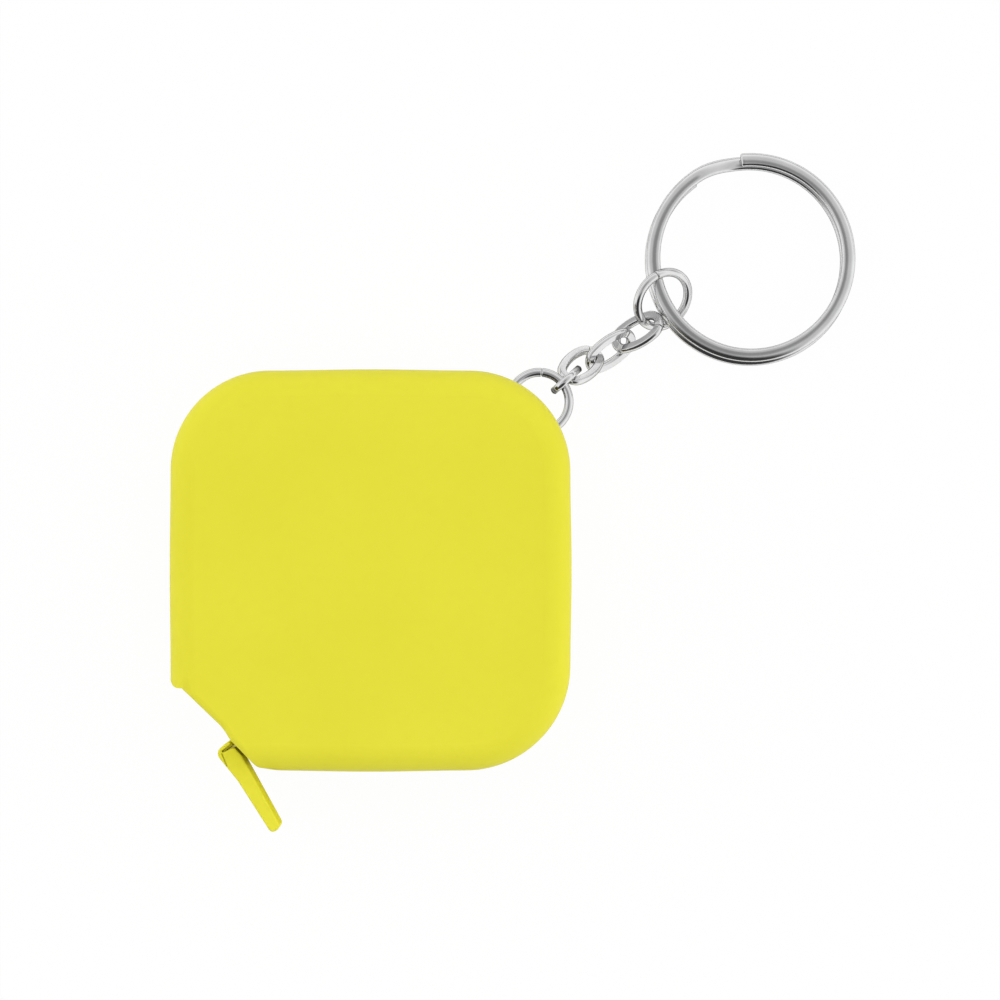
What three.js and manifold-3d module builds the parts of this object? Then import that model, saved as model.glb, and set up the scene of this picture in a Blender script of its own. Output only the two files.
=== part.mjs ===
// Keychain measuring tape: a moulded two-part case with a spring-wound tape spool, a pull tab,
// and a jump ring, four chain links, a second jump ring and a split key ring at one corner.
// Millimetres. The case lies on its back: z = 0 is the back face, +Z looks out of the front,
// and the origin is the spool axis on the back face.
import * as THREE from 'three';
import { mergeVertices } from 'three/addons/utils/BufferGeometryUtils.js';
import Module from 'manifold-3d';

const wasm = await Module();
wasm.setup();
const degrees = THREE.MathUtils.degToRad;

// Case
const caseSide = 47;
const caseDepth = 18;
const cornerShare = 0.2628;
const edgeRound = 3.2;
const wall = 2;
const bigArcSteps = 8;
const smallArcSteps = 3;
const edgeSteps = 4;
const overrun = 3;
const leastFillet = 0.05;

// Cut-off corner: lip, ramp, step and the jaw with the tape mouth
const lipDrop = 9.7;
const lipWidth = 1.4;
const lipRadius = 1;
const kneeRadius = 2.2;
const cutEdgeRound = 0.8;
const rampRun = 3.87;
const rampFall = 3.64;
const stepRun = 1.83;
const stepFall = 2.48;
const jawRun = 3.76;
const jawRadius = 5.5;

// Tape and its way out
const tapeSideGap = 0.55;
const tapeThickness = 0.3;
const tapeTurns = 12;
const coilSteps = 24;
const bendSteps = 4;
const mouthGap = 0.4;
const mouthInset = 0.85;
const exitAngle = degrees(216.9);
const bendDepth = 2.6;
const bendRadius = 1.2;
const jawLength = 7;
const tapeSplit = 0.3;

// Spool, its post and the mainspring
const postRadius = 2;
const postSlit = 0.5;
const runningGap = 0.15;
const endPlay = 0.45;
const hubRadius = 8.3;
const hubWall = 0.7;
const flangeGap = 2.9;
const flangeLip = 1.21;
const flangeThickness = 1;
const hubSpigot = 0.6;
const springSideGap = 1.35;
const springThickness = 0.2;
const springTurns = 7;
const springSteps = 16;
const tipRecess = 0.8;
const seatGap = 0.3;
const roundSteps = 32;
const flangeSteps = 48;

// Screws and their bosses
const screwInset = 4.52;
const screwHeadRadius = 1.6;
const screwHeadHeight = 0.9;
const screwHeadRecess = 0.35;
const screwShankRadius = 0.7;
const screwTipLength = 1.2;
const screwCover = 4.75;
const driveWidth = 0.4;
const driveDepth = 0.45;
const screwSteps = 16;
const headClearance = 0.25;
const bossWall = 0.9;

// Corner post and the slot that the first jump ring swings in
const ringPostRadius = 1.2;
const ringPostSlack = 0.28;
const slotHeight = 2.2;
const slotWall = 1;

// Jump rings, links and split key ring
const jumpRingRadius = 3.5;
const jumpWire = 1.04;
const jumpCutAngle = degrees(4);
const jumpSteps = 32;
const linkLength = 7.1;
const linkWidth = 4.5;
const linkWire = 1.15;
const linkEndShare = 0.85;
const linkEndSteps = 8;
const linkSideSteps = 4;
const wireSides = 10;
const keyRingRadius = 12.45;
const keyBandWidth = 1.6;
const keyBandHeight = 1;
const keyLayerGap = 0.06;
const keyLayerOffset = 0.4;
const keyJog = degrees(28.5);
const keyRingSteps = 96;

// How each piece of the chain lies: heading in the plan, slope down and roll about its own length.
// It is pulled from the piece before it along pull in the plan and hang downwards, and slackShare
// is the play left between the two wires as a share of the link wire
const chainLie = [
  {
    heading: degrees(42.8), slope: degrees(80.2), roll: degrees(91),
    pull: degrees(-17.6), hang: degrees(99.3), slackShare: 0.49,
  },
  {
    heading: degrees(43.2), slope: degrees(41.1), roll: degrees(-21.6),
    pull: degrees(27.3), hang: degrees(78.6), slackShare: 0.23,
  },
  {
    heading: degrees(34.9), slope: degrees(12.2), roll: degrees(42.9),
    pull: degrees(70.7), hang: degrees(19), slackShare: 0.39,
  },
  {
    heading: degrees(27.6), slope: degrees(-18.1), roll: degrees(-36.7),
    pull: degrees(24.3), hang: degrees(-0.5), slackShare: 0.58,
  },
];
const keyJumpLie = {
  heading: degrees(52.2), roll: degrees(40), grip: degrees(186.8),
  pull: degrees(15.6), hang: degrees(-29.2), slackShare: 0.49,
};
const keyRingSag = 0.23;
const caseJumpCutAt = degrees(85.5);
const keyJumpCutAt = degrees(60);
const keyRingHeading = degrees(25.4);
const keyRingEndAt = degrees(96);
const keyOffsetHeading = degrees(250);

// Pull tab
const tabSideMargin = 1;
const tabSkin = 0.55;
const tabStandoff = 0.45;
const tabFoot = 2.1;
const tabCornerRadius = 0.9;
const tabShoulder = 4.6;
const tabShoulderAngle = degrees(-48.7);
const tabLimb = 7.3;
const tabLimbAngle = degrees(-57.6);
const tabKneeRadius = 4;
const tabThickness = 2.42;
const tabTipThickness = 1.8;
const tabTipShare = 0.445;
const tabSlot = 0.7;
const tabSlotRise = 0.3;
const tabSteps = 4;

const halfSide = caseSide / 2;
const midHeight = caseDepth / 2;
const cornerRadius = cornerShare * caseSide;
const flangeRadius = halfSide - wall - flangeGap;
const betweenFlanges = caseDepth - 2 * (wall + endPlay + flangeThickness);
const tapeWidth = betweenFlanges - 2 * tapeSideGap;
const springWidth = betweenFlanges - 2 * springSideGap;
const tabWidth = tapeWidth + 2 * tabSideMargin;
const tabTipRadius = tabTipShare * tabTipThickness;

const caseYellow = 0xe5df41;
const tabYellow = 0xe1dc3e;
const nickel = 0xb9babb;
const springSteel = 0x8b8f94;
const drumWhite = 0xe9e8e2;
const tapeYellow = 0xeee36a;

const finish = (color, roughness, metalness) => new THREE.MeshStandardMaterial({
  color,
  roughness,
  metalness,
});
const casePlastic = () => finish(caseYellow, 0.45, 0);
const tabPlastic = () => finish(tabYellow, 0.45, 0);
const drumPlastic = () => finish(drumWhite, 0.5, 0);
const tapeFilm = () => finish(tapeYellow, 0.4, 0);
const plating = () => finish(nickel, 0.2, 1);
const bareSteel = () => finish(springSteel, 0.35, 1);

const group = new THREE.Group();

function add(name, geometry, material, parent = group) {
  const mesh = new THREE.Mesh(geometry, material);
  mesh.name = name;
  parent.add(mesh);
  return mesh;
}

const flat = (x, y) => new THREE.Vector2(x, y);
const polar = (radius, angle, centre = flat(0, 0)) => flat(
  centre.x + radius * Math.cos(angle),
  centre.y + radius * Math.sin(angle),
);

// Closed geometry from corner positions and triangles, turned so that its faces point out
function closedGeometry(positions, triangles) {
  let sixVolumes = 0;
  for (let i = 0; i < triangles.length; i += 3) {
    const [a, b, c] = [0, 1, 2].map((k) => positions[triangles[i + k]]);
    sixVolumes += a.dot(b.clone().cross(c));
  }
  const geometry = new THREE.BufferGeometry().setFromPoints(positions);
  geometry.setIndex(sixVolumes < 0 ? triangles.slice().reverse() : triangles);
  geometry.computeVertexNormals();
  return geometry;
}

function solid(geometry) {
  const bare = geometry.clone();
  bare.deleteAttribute('normal');
  bare.deleteAttribute('uv');
  const merged = mergeVertices(bare);
  return new wasm.Manifold(new wasm.Mesh({
    numProp: 3,
    vertProperties: new Float32Array(merged.attributes.position.array),
    triVerts: new Uint32Array(merged.index.array),
  }));
}

function geometryOf(manifold) {
  const mesh = manifold.getMesh();
  const geometry = new THREE.BufferGeometry();
  geometry.setAttribute('position', new THREE.BufferAttribute(mesh.vertProperties, 3));
  geometry.setIndex(new THREE.BufferAttribute(mesh.triVerts, 1));
  geometry.computeVertexNormals();
  return geometry;
}

// Quads between neighbouring rings of count points each
function bandTriangles(rings, count, wraps) {
  const triangles = [];
  for (let i = 0; i < (wraps ? rings : rings - 1); i += 1) {
    const here = i * count;
    const there = (i + 1) % rings * count;
    for (let k = 0; k < count; k += 1) {
      const next = (k + 1) % count;
      triangles.push(here + k, here + next, there + next, here + k, there + next, there + k);
    }
  }
  return triangles;
}

function capTriangles(loop, first, flipped) {
  return THREE.ShapeUtils.triangulateShape(loop, [])
    .flatMap(([a, b, c]) => (flipped ? [c, b, a] : [a, b, c]).map((k) => first + k));
}

// A body through a stack of loops that have the same number of points
function loft(loops, heights) {
  const count = loops[0].length;
  const last = loops.length - 1;
  const positions = loops.flatMap((loop, i) => loop.map((p) => new THREE.Vector3(p.x, p.y, heights[i])));
  return closedGeometry(positions, [
    ...bandTriangles(loops.length, count, false),
    ...capTriangles(loops[0], 0, true),
    ...capTriangles(loops[last], last * count, false),
  ]);
}

const prism = (loop, low, high) => loft([loop, loop], [low, high]);

function circle(radius, steps, centre = flat(0, 0)) {
  return Array.from({ length: steps }, (_, i) => polar(radius, 2 * Math.PI * i / steps, centre));
}

function disc(radius, low, high, centre) {
  return solid(prism(circle(radius, roundSteps, centre), low, high));
}

// A straight bar in the plan from one point to another, given half its width
function bar(from, to, halfWidth, low, high) {
  const along = to.clone().sub(from).normalize();
  const across = flat(-along.y, along.x).multiplyScalar(halfWidth);
  const right = [from, to].map((p) => p.clone().sub(across));
  const left = [to, from].map((p) => p.clone().add(across));
  return solid(prism([...right, ...left], low, high));
}

const corner = (at, radius, steps) => ({ at, radius, steps });
const sharp = (at) => corner(at, leastFillet, 1);

// A counter-clockwise loop with filleted corners, whose sides are moved in by inset
function filletedLoop(corners, inset = 0) {
  return corners.flatMap((here, i) => {
    const before = corners[(i + corners.length - 1) % corners.length].at;
    const after = corners[(i + 1) % corners.length].at;
    const into = here.at.clone().sub(before).normalize();
    const out = after.clone().sub(here.at).normalize();
    const turn = Math.atan2(into.cross(out), into.dot(out));
    const side = Math.sign(turn);
    const leftIn = flat(-into.y, into.x);
    const inward = leftIn.clone().add(flat(-out.y, out.x)).divideScalar(1 + into.dot(out));
    const radius = Math.max(here.radius - side * inset, leastFillet);
    const centre = here.at.clone().addScaledVector(inward, inset + side * radius);
    return Array.from({ length: here.steps + 1 }, (_, k) => {
      const spoke = leftIn.clone().rotateAround(flat(0, 0), turn * k / here.steps);
      return centre.clone().addScaledVector(spoke, -side * radius);
    });
  });
}

// [inset, height] pairs of a body whose bottom and top edges are quarter rounds
function roundedLevels(low, high, radius, inset = 0) {
  const angles = Array.from({ length: edgeSteps + 1 }, (_, i) => i / edgeSteps * Math.PI / 2);
  const level = (angle, end, way) => [
    inset + radius * (1 - Math.cos(angle)),
    end + way * radius * (1 - Math.sin(angle)),
  ];
  return [
    ...angles.slice().reverse().map((angle) => level(angle, low, 1)),
    ...angles.map((angle) => level(angle, high, -1)),
  ];
}

const squareCorners = [
  corner(flat(halfSide, -halfSide), cornerRadius, bigArcSteps),
  corner(flat(halfSide, halfSide), cornerRadius, bigArcSteps),
  corner(flat(-halfSide, halfSide), cornerRadius, bigArcSteps),
  corner(flat(-halfSide, -halfSide), edgeRound + leastFillet, smallArcSteps),
];

function pillow(inset) {
  const levels = roundedLevels(inset, caseDepth - inset, edgeRound - inset, inset);
  return solid(loft(levels.map(([d]) => filletedLoop(squareCorners, d)), levels.map(([, z]) => z)));
}

// Landmarks of the cut-off corner
const lipTop = flat(-halfSide - leastFillet, -halfSide + lipDrop);
const rampTop = flat(-halfSide + lipWidth, lipTop.y);
const rampEnd = rampTop.clone().add(flat(rampRun, -rampFall));
const jawTop = rampEnd.clone().add(flat(stepRun, -stepFall));
const jawEnd = flat(jawTop.x + jawRun, -halfSide - leastFillet);
const cutReach = halfSide + overrun;

const cutFloor = [
  sharp(flat(-cutReach, -cutReach)),
  sharp(flat(jawEnd.x + overrun, -cutReach)),
  sharp(flat(jawEnd.x + overrun, jawEnd.y)),
  corner(jawEnd, jawRadius, 2 * smallArcSteps),
  corner(jawTop, kneeRadius, smallArcSteps),
  corner(rampEnd, kneeRadius, smallArcSteps),
];
const cutLip = [
  sharp(rampTop),
  corner(lipTop, lipRadius, smallArcSteps),
  sharp(flat(lipTop.x, lipTop.y + overrun)),
  sharp(flat(-cutReach, lipTop.y + overrun)),
];
const rampBeyond = rampTop.clone().add(flat(-2 * rampRun, 2 * rampFall));

function outerCut() {
  const corners = [...cutFloor, ...cutLip];
  const levels = roundedLevels(0, caseDepth, cutEdgeRound);
  const ends = [[cutEdgeRound, -overrun], ...levels, [cutEdgeRound, caseDepth + overrun]];
  return solid(loft(ends.map(([d]) => filletedLoop(corners, -d)), ends.map(([, z]) => z)));
}

function innerCut() {
  const corners = [...cutFloor, sharp(rampBeyond), sharp(flat(-2 * cutReach, rampBeyond.y))];
  return solid(prism(filletedLoop(corners, -wall), -overrun, caseDepth + overrun));
}

// Where the tape crosses the mouth, and its bend inside
const exitWay = polar(1, exitAngle);
const exitSide = flat(exitWay.y, -exitWay.x);
const jawWay = flat(jawEnd.x - jawTop.x, -halfSide - jawTop.y).normalize();
const mouth = jawTop.clone().addScaledVector(jawWay, mouthInset);
const bend = mouth.clone().addScaledVector(exitWay, -bendDepth);

// Coil radii: the tape's middle at the hub and at the outside
const coilStart = hubRadius + seatGap + tapeThickness / 2;
const coilEnd = flangeRadius - flangeLip;
const feedRadius = coilEnd + tapeThickness + runningGap;
const bendDistance = bend.length();
const feedReach = Math.sqrt(bendDistance ** 2 - feedRadius ** 2);
const toSpool = Math.atan2(-bend.y, -bend.x);
const feedAngle = toSpool - Math.asin(feedRadius / bendDistance);
const feedStart = bend.clone().add(polar(feedReach, feedAngle));
const tangentAngle = Math.atan2(feedStart.y, feedStart.x);

const bendTurn = exitAngle - Math.PI - feedAngle;
const bendTangent = bendRadius * Math.tan(bendTurn / 2);
const mouthLow = midHeight - tapeWidth / 2 - mouthGap;
const mouthHigh = midHeight + tapeWidth / 2 + mouthGap;

// A block behind the lower jaw, whose rounded nose turns the tape
function jawGuide() {
  const clearance = tapeThickness / 2 + mouthGap;
  const feedWay = polar(1, feedAngle);
  const feedSide = flat(feedWay.y, -feedWay.x);
  const nose = bend.clone()
    .addScaledVector(feedSide.clone().add(exitSide).divideScalar(1 + feedSide.dot(exitSide)), clearance);
  const inner = nose.clone().addScaledVector(feedWay, jawLength);
  const outer = nose.clone().addScaledVector(exitWay, bendDepth - wall / 2);
  const corners = [
    sharp(outer),
    sharp(flat(outer.x, -halfSide)),
    sharp(flat(inner.x, -halfSide)),
    sharp(inner),
    corner(nose, bendRadius - clearance, smallArcSteps),
  ];
  return solid(prism(filletedLoop(corners), wall / 2, caseDepth - wall / 2));
}

const mouthBar = (inside) => bar(
  mouth.clone().addScaledVector(exitWay, -inside),
  mouth.clone().addScaledVector(exitWay, overrun),
  mouthGap + tapeThickness / 2,
  mouthLow,
  mouthHigh,
);

// Places at the corner with the key chain
const cornerWay = flat(Math.SQRT1_2, Math.SQRT1_2);
const outlineAtCorner = halfSide - cornerRadius + cornerRadius * Math.SQRT1_2;
const ringCentre = flat(outlineAtCorner, outlineAtCorner);
const postToRing = jumpRingRadius - jumpWire / 2 - ringPostRadius - ringPostSlack;
const ringPost = ringCentre.clone().addScaledVector(cornerWay, -postToRing);
const slotRadius = postToRing + jumpRingRadius + jumpWire / 2 + seatGap;
const slotLow = midHeight - slotHeight / 2;
const slotHigh = midHeight + slotHeight / 2;

// Screws at the two plain corners
const screwDistance = outlineAtCorner * Math.SQRT2 - screwInset;
const screwPlaces = [3, 7].map((eighth) => polar(screwDistance, eighth * Math.PI / 4));
const headFloor = screwHeadRecess + screwHeadHeight;
const bossRadius = screwHeadRadius + headClearance + bossWall;
const screwTip = caseDepth - screwCover;

function caseHalf(low, high) {
  const cavity = pillow(wall).subtract(innerCut());
  const body = pillow(0).subtract(outerCut());
  const fittings = screwPlaces
    .map((place) => disc(bossRadius, wall / 2, caseDepth - wall / 2, place))
    .concat(disc(slotRadius + slotWall, wall / 2, caseDepth - wall / 2, ringPost), jawGuide())
    .reduce((all, next) => all.add(next));
  const reach = cutReach + overrun;
  return body
    .subtract(cavity)
    .add(fittings.intersect(body))
    .subtract(mouthBar(bendDepth))
    .subtract(disc(slotRadius, slotLow, slotHigh, ringPost))
    .intersect(bar(flat(-reach, 0), flat(reach, 0), reach, low, high));
}

const postTop = caseDepth - wall + tipRecess - seatGap;
const springLow = midHeight - springWidth / 2;

function caseBack() {
  const slit = bar(flat(0, 0), flat(postRadius + overrun, 0), postSlit / 2, springLow, caseDepth);
  const spoolPost = disc(postRadius, wall / 2, postTop, flat(0, 0)).subtract(slit);
  const ringPin = disc(ringPostRadius, wall, slotHigh + tipRecess, ringPost);
  const drilled = screwPlaces.reduce(
    (body, place) => body
      .subtract(disc(screwHeadRadius + headClearance, -overrun, headFloor, place))
      .subtract(disc(screwShankRadius + headClearance, -overrun, caseDepth, place)),
    caseHalf(-overrun, midHeight),
  );
  return drilled.add(spoolPost).add(ringPin);
}

function caseFront() {
  const tipTop = caseDepth - wall + tipRecess;
  const pinTop = slotHigh + tipRecess + seatGap;
  const pilotRadius = screwShankRadius + runningGap / 2;
  const drilled = screwPlaces.reduce(
    (body, place) => body.subtract(disc(pilotRadius, 0, screwTip + seatGap, place)),
    caseHalf(midHeight, caseDepth + overrun),
  );
  return drilled
    .subtract(disc(postRadius + runningGap, midHeight, tipTop, flat(0, 0)))
    .subtract(disc(ringPostRadius + runningGap, midHeight, pinTop, ringPost));
}

add('case_back', geometryOf(caseBack()), casePlastic());
add('case_front', geometryOf(caseFront()), casePlastic());

// A turned body about the spool axis from [radius, height] corners, listed upwards
function turned(profile, steps) {
  const geometry = new THREE.LatheGeometry(profile.map(([r, z]) => flat(r, z)), steps);
  geometry.rotateX(Math.PI / 2);
  return geometry;
}

function screw(place) {
  const crown = screwHeadHeight / 2;
  const profile = [
    [0, screwHeadRecess],
    [screwHeadRadius - crown, screwHeadRecess],
    [screwHeadRadius, screwHeadRecess + crown],
    [screwHeadRadius, headFloor],
    [screwShankRadius, headFloor],
    [screwShankRadius, screwTip - screwTipLength],
    [0, screwTip],
  ];
  const driveReach = screwHeadRadius - crown;
  const drives = [0, Math.PI / 2].map((angle) => bar(
    polar(-driveReach, angle),
    polar(driveReach, angle),
    driveWidth / 2,
    screwHeadRecess - overrun,
    screwHeadRecess + driveDepth,
  ));
  return geometryOf(solid(turned(profile, screwSteps)).subtract(drives[0]).subtract(drives[1])
    .translate([place.x, place.y, 0]));
}

screwPlaces.forEach((place, i) => add(`case_screw_${i + 1}`, screw(place), plating()));

// Spool: a drum with its lower flange, and a cover with the upper flange over the spring
const drumLow = wall + endPlay;
const drumFloor = drumLow + flangeThickness;
const coverHigh = caseDepth - wall - endPlay;
const coverLow = coverHigh - flangeThickness;
const spoolBore = postRadius + runningGap;

const drumProfile = [
  [spoolBore, drumLow],
  [flangeRadius, drumLow],
  [flangeRadius, drumFloor],
  [hubRadius, drumFloor],
  [hubRadius, coverLow - runningGap],
  [hubRadius - hubWall, coverLow - runningGap],
  [hubRadius - hubWall, drumFloor],
  [spoolBore, drumFloor],
  [spoolBore, drumLow],
];
const spigotRadius = hubRadius - hubWall - runningGap;
const coverProfile = [
  [spoolBore, coverLow],
  [spigotRadius - hubWall, coverLow],
  [spigotRadius - hubWall, coverLow - hubSpigot],
  [spigotRadius, coverLow - hubSpigot],
  [spigotRadius, coverLow],
  [flangeRadius, coverLow],
  [flangeRadius, coverHigh],
  [spoolBore, coverHigh],
  [spoolBore, coverLow],
];
add('spool_drum', turned(drumProfile, flangeSteps), drumPlastic());
add('spool_cover', turned(coverProfile, flangeSteps), drumPlastic());

// A body swept along stations, each with a middle, an outward and an upward way
function swept(stations, section, closed = false) {
  const positions = stations.flatMap(({ middle, out, up }) => section.map((p) => middle.clone()
    .addScaledVector(out, p.x)
    .addScaledVector(up, p.y)));
  const last = (stations.length - 1) * section.length;
  const caps = closed ? [] : [...capTriangles(section, 0, true), ...capTriangles(section, last, false)];
  return closedGeometry(positions, [...bandTriangles(stations.length, section.length, closed), ...caps]);
}

const zAxis = new THREE.Vector3(0, 0, 1);
const lifted = (p, z = 0) => new THREE.Vector3(p.x, p.y, z);
function box(width, height) {
  const signs = [[-1, -1], [1, -1], [1, 1], [-1, 1]];
  return signs.map(([x, y]) => flat(x * width / 2, y * height / 2));
}

// A strip wound on edge about the spool axis, from one radius of its middle to another
function spiral({ from, to, turns, steps, startAngle, thickness, width }) {
  const count = Math.abs(turns) * steps;
  const stations = Array.from({ length: count + 1 }, (_, i) => {
    const angle = startAngle + Math.sign(turns) * 2 * Math.PI * i / steps;
    return {
      middle: lifted(polar(from + (to - from) * i / count, angle), midHeight),
      out: lifted(polar(1, angle)),
      up: zAxis,
    };
  });
  return swept(stations, box(thickness, width));
}

add('tape_coil', spiral({
  from: coilEnd,
  to: coilStart,
  turns: tapeTurns,
  steps: coilSteps,
  startAngle: tangentAngle,
  thickness: tapeThickness,
  width: tapeWidth,
}), tapeFilm());
add('mainspring', spiral({
  from: postRadius + runningGap + springThickness,
  to: hubRadius - hubWall - runningGap - springThickness,
  turns: -springTurns,
  steps: springSteps,
  startAngle: 0,
  thickness: springThickness,
  width: springWidth,
}), bareSteel());

// A strip on edge along points in the plan
function strip(points, thickness, width) {
  const last = points.length - 1;
  const stations = points.map((p, i) => {
    const way = points[Math.min(i + 1, last)].clone().sub(points[Math.max(i - 1, 0)]).normalize();
    return { middle: lifted(p, midHeight), out: lifted(flat(way.y, -way.x)), up: zAxis };
  });
  return swept(stations, box(thickness, width));
}

function feedPath() {
  const feedWay = polar(1, feedAngle);
  const bendSide = flat(feedWay.y, -feedWay.x);
  const arcStart = bend.clone().addScaledVector(feedWay, bendTangent);
  const centre = arcStart.clone().addScaledVector(bendSide, bendRadius);
  const arc = Array.from({ length: bendSteps + 1 }, (_, i) => arcStart.clone()
    .rotateAround(centre, bendTurn * i / bendSteps));
  const end = mouth.clone().addScaledVector(exitWay, -tapeSplit);
  return [feedStart, ...arc, end];
}

add('tape_feed', strip(feedPath(), tapeThickness, tapeWidth), tapeFilm());

// Pull tab: a foot over the mouth that takes the tape's end, and a tapered limb
const skinTop = tabSlotRise + tabSkin;
const slotReach = tabStandoff + tabFoot - tabSkin - tabCornerRadius / 2;
const footStart = mouth.clone()
  .addScaledVector(exitSide, skinTop)
  .addScaledVector(exitWay, tabStandoff);
const footCorner = footStart.clone().addScaledVector(exitWay, tabFoot);
const shoulderWay = polar(1, tabShoulderAngle);
const limbWay = polar(1, tabLimbAngle);
const knee = footCorner.clone().addScaledVector(shoulderWay, tabShoulder);
const tipLeft = knee.clone().addScaledVector(limbWay, tabLimb);
const acrossWay = flat(-limbWay.y, limbWay.x);
const tipRight = tipLeft.clone().addScaledVector(acrossWay, tabTipThickness);
const kneeRight = knee.clone().addScaledVector(acrossWay, tabThickness);

function pullTab() {
  const rightWay = kneeRight.clone().sub(tipRight).normalize();
  const wallSide = flat(jawWay.y, -jawWay.x);
  const faceAt = mouth.clone().addScaledVector(wallSide, tabStandoff);
  const run = faceAt.clone().sub(tipRight).cross(jawWay) / rightWay.cross(jawWay);
  const shoulderRight = tipRight.clone().addScaledVector(rightWay, run);
  const corners = [
    sharp(footStart),
    corner(footCorner, tabCornerRadius, tabSteps),
    corner(knee, tabKneeRadius, tabSteps),
    corner(tipLeft, tabTipRadius, tabSteps),
    corner(tipRight, tabTipRadius, tabSteps),
    sharp(shoulderRight),
  ];
  const low = midHeight - tabWidth / 2;
  const high = midHeight + tabWidth / 2;
  const body = solid(prism(filletedLoop(corners), low, high));
  const slotFrom = mouth.clone().addScaledVector(exitSide, tabSlotRise - tabSlot / 2);
  const slot = bar(
    slotFrom,
    slotFrom.clone().addScaledVector(exitWay, slotReach),
    tabSlot / 2,
    low - overrun,
    high + overrun,
  );
  return body.subtract(slot);
}

add('pull_tab', geometryOf(pullTab()), tabPlastic());

const leadEnd = mouth.clone().addScaledVector(exitWay, slotReach - runningGap);
add('tape_lead', strip([mouth, leadEnd], tapeThickness, tapeWidth), tapeFilm());

// Round wire along a loop in its own plane
const wireSection = (wire) => circle(wire / 2, wireSides);

function jumpRing(cutAt) {
  const stations = Array.from({ length: jumpSteps + 1 }, (_, i) => {
    const angle = cutAt + jumpCutAngle / 2 + (2 * Math.PI - jumpCutAngle) * i / jumpSteps;
    return { middle: lifted(polar(jumpRingRadius, angle)), out: lifted(polar(1, angle)), up: zAxis };
  });
  return swept(stations, wireSection(jumpWire));
}

// An oval of four arcs that meet smoothly: two tight ends and two long bowed sides
function chainLink() {
  const endReach = (linkLength - linkWire) / 2;
  const sideReach = (linkWidth - linkWire) / 2;
  const endRadius = linkEndShare * sideReach;
  const endAway = endReach - endRadius;
  const sideRadius = (endAway ** 2 + sideReach ** 2 - endRadius ** 2) / (2 * (sideReach - endRadius));
  const sideTurn = Math.asin(endAway / (sideRadius - endRadius));
  const endTurn = Math.PI / 2 - sideTurn;
  const arc = (facing, halfTurn, radius, away, steps) => Array.from({ length: steps }, (_, i) => {
    const angle = facing + halfTurn * (2 * i / steps - 1);
    const middle = polar(away, facing).add(polar(radius, angle));
    return { middle: lifted(middle), out: lifted(polar(1, angle)), up: zAxis };
  });
  const half = (facing) => [
    ...arc(facing, endTurn, endRadius, endAway, linkEndSteps),
    ...arc(facing + Math.PI / 2, sideTurn, sideRadius, sideReach - sideRadius, linkSideSteps),
  ];
  return swept([...half(0), ...half(Math.PI)], wireSection(linkWire), true);
}

// Two flat layers of one band: the upper turn steps down over the jog to the lower turn
function splitRing() {
  const middleRadius = keyRingRadius - keyBandWidth / 2;
  const turnAngle = 2 * Math.PI - keyJog;
  const fullAngle = 2 * turnAngle + keyJog;
  const rise = (keyBandHeight + keyLayerGap) / 2;
  const stations = Array.from({ length: keyRingSteps + 1 }, (_, i) => {
    const swing = fullAngle * i / keyRingSteps;
    const down = THREE.MathUtils.smoothstep(swing, turnAngle, turnAngle + keyJog);
    const angle = keyRingEndAt - keyRingHeading - swing;
    const shift = polar(keyLayerOffset * down, keyOffsetHeading - keyRingHeading);
    return {
      middle: lifted(polar(middleRadius, angle).add(shift), rise * (1 - 2 * down)),
      out: lifted(polar(1, angle)),
      up: zAxis,
    };
  });
  const halfWidth = keyBandWidth / 2;
  const halfHeight = keyBandHeight / 2;
  const section = circle(1, wireSides).map((p) => flat(
    halfWidth * Math.sign(p.x) * Math.sqrt(Math.abs(p.x)),
    halfHeight * Math.sign(p.y) * Math.sqrt(Math.abs(p.y)),
  ));
  return swept(stations, section);
}

// A piece's own X, Y and Z lie along its length, its width and its face
const turnedBy = ({ heading, slope = 0, roll = 0 }) => new THREE.Quaternion()
  .setFromEuler(new THREE.Euler(roll, slope, heading, 'ZYX'));

function placed(name, geometry, at, turn) {
  const mesh = add(name, geometry, plating());
  mesh.position.copy(at);
  mesh.quaternion.copy(turn);
}

placed('jump_ring_case', jumpRing(caseJumpCutAt), lifted(ringCentre, midHeight), new THREE.Quaternion());

const hangWay = ({ pull, hang }) => lifted(polar(Math.cos(hang), pull), -Math.sin(hang));

// Each link hangs with its near end's wire just inside the far end of the piece before it
function hangChain() {
  const reach = (linkLength - linkWire) / 2;
  let end = lifted(polar(jumpRingRadius, chainLie[0].heading, ringCentre), midHeight);
  let contact = (jumpWire + linkWire) / 2;
  chainLie.forEach((lie, i) => {
    const turn = turnedBy(lie);
    const along = new THREE.Vector3(1, 0, 0).applyQuaternion(turn);
    const near = end.clone().addScaledVector(hangWay(lie), -contact - lie.slackShare * linkWire);
    placed(`chain_link_${i + 1}`, chainLink(), near.clone().addScaledVector(along, reach), turn);
    end = near.clone().addScaledVector(along, 2 * reach);
    contact = linkWire;
  });
  return end;
}

const keyJumpTurn = turnedBy(keyJumpLie);
const grip = lifted(polar(jumpRingRadius, keyJumpLie.grip)).applyQuaternion(keyJumpTurn);
const keyJumpCentre = hangChain()
  .addScaledVector(hangWay(keyJumpLie), -(jumpWire + linkWire) / 2 - keyJumpLie.slackShare * linkWire)
  .sub(grip);
placed('jump_ring_key', jumpRing(keyJumpCutAt), keyJumpCentre, keyJumpTurn);

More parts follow.
